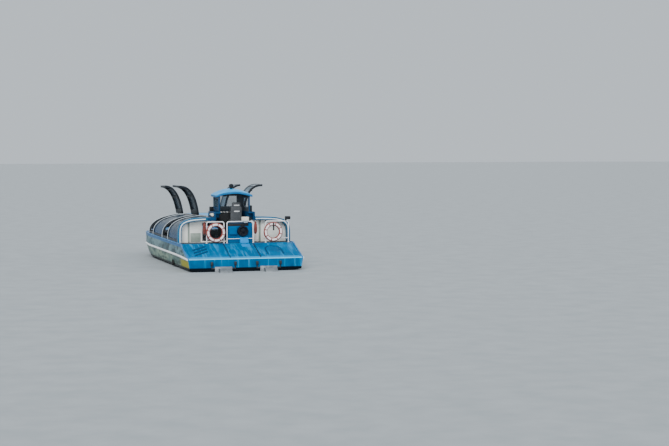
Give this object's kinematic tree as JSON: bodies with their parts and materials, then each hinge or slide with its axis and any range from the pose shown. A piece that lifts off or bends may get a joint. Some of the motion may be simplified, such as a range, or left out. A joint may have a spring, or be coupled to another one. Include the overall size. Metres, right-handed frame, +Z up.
{
  "type": "enclosed passenger jet boat",
  "caption": "Passenger jet boat afloat: vee hull, full-beam glazed canopy with raised gull-wing doors, pilothouse, sloping stern deck and steerable jets.",
  "frame": {"origin": "on the centreline amidships, at the waterline", "axes": "+X to starboard, +Y to the bow, +Z up"},
  "size_m": [4.5566, 12.7325, 3.5623],
  "materials": {
    "hull_paint": "satin",
    "roof_paint": "satin",
    "pilothouse_paint": "satin",
    "arch_paint": "satin",
    "white_paint": "satin",
    "black_frame": "satin",
    "rub_strip": "satin",
    "canopy_glazing": "gloss",
    "door_glazing": "gloss",
    "deck_grey": "non-slip",
    "seat_cloth": "woven",
    "helm_vinyl": "satin",
    "black_plastic": "matt",
    "cream_plastic": "gloss",
    "cast_aluminium": "cast",
    "engine_iron": "painted",
    "rail_tube": "gloss",
    "lifebuoy_red": "satin",
    "bag_cloth": "woven"
  },
  "bodies": {
    "hull": {"hull_shell": "hull_paint", "rub_rail_starboard": "rub_strip", "rub_rail_port": "rub_strip", "stern_arch_port": "arch_paint", "stern_arch_starboard": "arch_paint", "canopy_frame": "black_frame", "roof_spine": "roof_paint", "quarter_pane_starboard": "canopy_glazing", "quarter_pane_port": "canopy_glazing", "middle_pane_starboard": "canopy_glazing", "middle_pane_port": "canopy_glazing", "windscreen": "canopy_glazing", "aft_bulkhead": "white_paint", "bench_bank_starboard": "seat_cloth", "bench_bank_port": "seat_cloth", "helm_platform": "deck_grey", "helm_seat": "helm_vinyl", "helm_console": "black_plastic", "pilothouse_base": "hull_paint", "pilothouse_frame": "pilothouse_paint", "pilothouse_pane_port": "canopy_glazing", "pilothouse_pane_starboard": "canopy_glazing", "pilothouse_windscreen": "canopy_glazing", "pilothouse_roof": "roof_paint", "roof_lamp": "black_plastic", "side_box_port": "black_plastic", "side_box_starboard": "black_plastic", "horn": "cream_plastic", "rail_lamp": "black_plastic", "stern_rail_port": "rail_tube", "stern_rail_centre": "rail_tube", "stern_rail_starboard": "rail_tube", "lifebuoy_port": "lifebuoy_red", "lifebuoy_starboard": "lifebuoy_red", "throw_bag_port": "bag_cloth", "throw_bag_starboard": "bag_cloth", "rail_box": "cream_plastic", "stern_console": "hull_paint", "intake_cowl": "black_plastic", "engine_port": "engine_iron", "engine_starboard": "engine_iron", "jet_housing_port": "cast_aluminium", "jet_housing_starboard": "cast_aluminium"},
    "door_aft_port": {"door_aft_port_frame": "black_frame", "door_aft_port_pane": "door_glazing"},
    "door_aft_starboard": {"door_aft_starboard_frame": "black_frame", "door_aft_starboard_pane": "door_glazing"},
    "door_forward_port": {"door_forward_port_frame": "black_frame", "door_forward_port_pane": "door_glazing"},
    "door_forward_starboard": {"door_forward_starboard_frame": "black_frame", "door_forward_starboard_pane": "door_glazing"},
    "lid_port": {"engine_lid_port": "hull_paint"},
    "lid_centre": {"engine_lid_centre": "hull_paint"},
    "lid_starboard": {"engine_lid_starboard": "hull_paint"},
    "wheel": {"steering_wheel": "black_plastic"},
    "nozzle_port": {"jet_nozzle_port": "cast_aluminium"},
    "bucket_port": {"reverse_bucket_port": "cast_aluminium"},
    "nozzle_starboard": {"jet_nozzle_starboard": "cast_aluminium"},
    "bucket_starboard": {"reverse_bucket_starboard": "cast_aluminium"}
  },
  "joints": [
    {"name": "door_aft_port_swing", "type": "hinge", "parent": "hull", "child": "door_aft_port", "pos_m": [-0.91113, -1.325, 1.8889], "axis": [0, 1, 0], "range_deg": [-87, 13]},
    {"name": "door_aft_starboard_swing", "type": "hinge", "parent": "hull", "child": "door_aft_starboard", "pos_m": [0.91113, -1.325, 1.8889], "axis": [0, -1, 0], "range_deg": [-89, 11]},
    {"name": "door_forward_port_swing", "type": "hinge", "parent": "hull", "child": "door_forward_port", "pos_m": [-0.882, 1.985, 1.80354], "axis": [0, 1, 0], "range_deg": [-87, 13]},
    {"name": "door_forward_starboard_swing", "type": "hinge", "parent": "hull", "child": "door_forward_starboard", "pos_m": [0.882, 1.985, 1.80354], "axis": [0, -1, 0], "range_deg": [-89, 11]},
    {"name": "engine_lid_port_lift", "type": "hinge", "parent": "hull", "child": "lid_port", "pos_m": [-1.355, -4.8, 0.93959], "axis": [-1, 0, 0], "range_deg": [0, 60]},
    {"name": "engine_lid_centre_lift", "type": "hinge", "parent": "hull", "child": "lid_centre", "pos_m": [0.01, -4.8, 0.93959], "axis": [-1, 0, 0], "range_deg": [0, 60]},
    {"name": "engine_lid_starboard_lift", "type": "hinge", "parent": "hull", "child": "lid_starboard", "pos_m": [1.365, -4.8, 0.93959], "axis": [-1, 0, 0], "range_deg": [0, 60]},
    {"name": "nozzle_port_steer", "type": "hinge", "parent": "hull", "child": "nozzle_port", "pos_m": [-0.875, -6.31, -0.14], "axis": [0, 0, 1], "range_deg": [-27, 27]},
    {"name": "bucket_port_drop", "type": "hinge", "parent": "hull", "child": "bucket_port", "pos_m": [-0.875, -6.39, -0.14], "axis": [1, 0, 0], "range_deg": [0, 75]},
    {"name": "nozzle_starboard_steer", "type": "hinge", "parent": "hull", "child": "nozzle_starboard", "pos_m": [0.875, -6.31, -0.14], "axis": [0, 0, 1], "range_deg": [-27, 27]},
    {"name": "bucket_starboard_drop", "type": "hinge", "parent": "hull", "child": "bucket_starboard", "pos_m": [0.875, -6.39, -0.14], "axis": [1, 0, 0], "range_deg": [0, 75]},
    {"name": "steering_wheel_turn", "type": "hinge", "parent": "hull", "child": "wheel", "pos_m": [0.16, -3.4, 2.09], "axis": [0, 1, 0], "range_deg": [-270, 270]}
  ],
  "couplings": [
    {"joint": "nozzle_starboard_steer", "follows": "nozzle_port_steer", "ratio": 1},
    {"joint": "steering_wheel_turn", "follows": "nozzle_port_steer", "ratio": 10}
  ]
}
